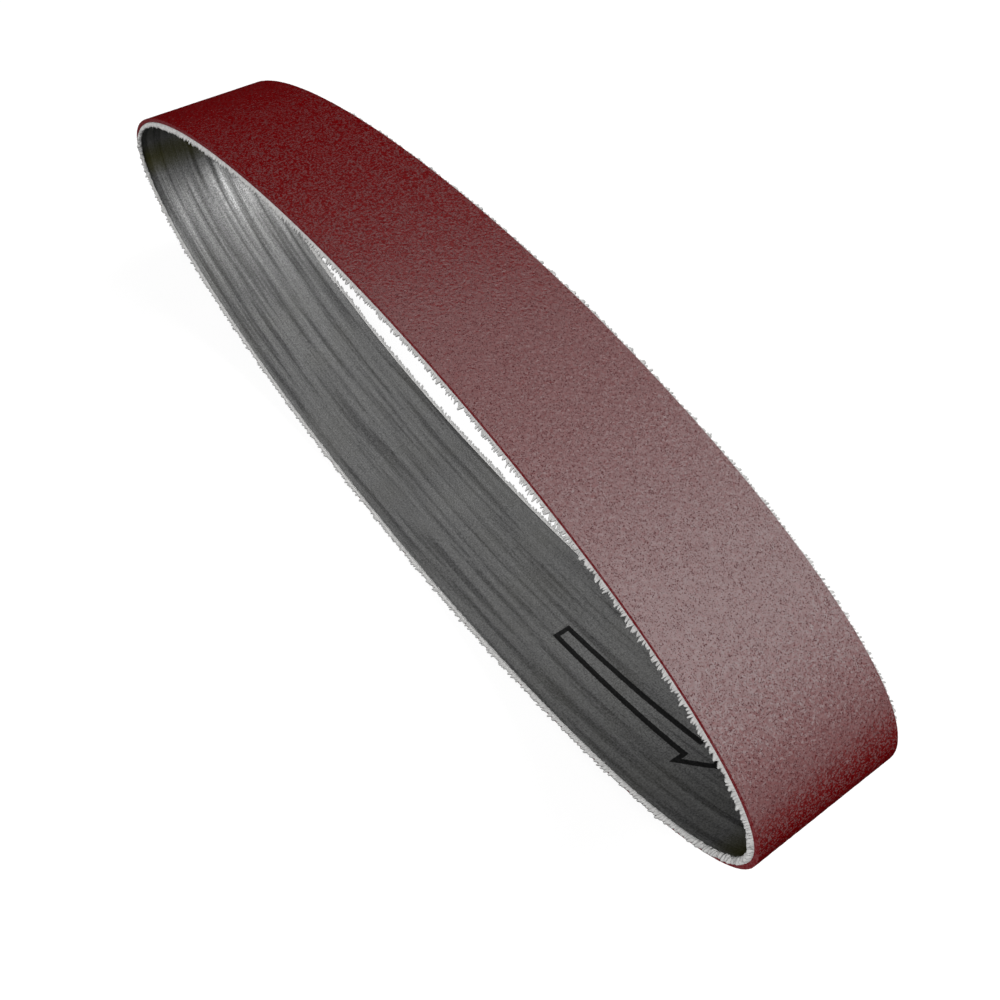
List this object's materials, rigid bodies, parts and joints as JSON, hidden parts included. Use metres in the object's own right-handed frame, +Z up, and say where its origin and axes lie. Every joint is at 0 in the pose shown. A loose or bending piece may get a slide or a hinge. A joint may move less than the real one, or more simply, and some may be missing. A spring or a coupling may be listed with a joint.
{
  "type": "sanding belt",
  "caption": "Endless cloth sanding belt with an outer abrasive coat, lying as an oval loop; runs over the wheel and rollers of a belt grinder.",
  "frame": {"origin": "middle of the flat spot that the lower run lies on, at the bottom centre of the belt's box", "axes": "+Z up; X across the belt, from the near cut edge to the far one; Y along the loop's long axis"},
  "size_m": [0.04, 0.3048, 0.0978],
  "materials": {
    "crimson_grain": "bonded grain, rough, with a dull sheen",
    "grey_cloth": "resin-filled woven cloth, matte, with pale frayed cut edges",
    "tape_film": "thin satin film"
  },
  "bodies": {
    "root": {"abrasive_coat": "crimson_grain", "cloth_backing": "grey_cloth", "splice_tape": "tape_film"}
  },
  "joints": []
}
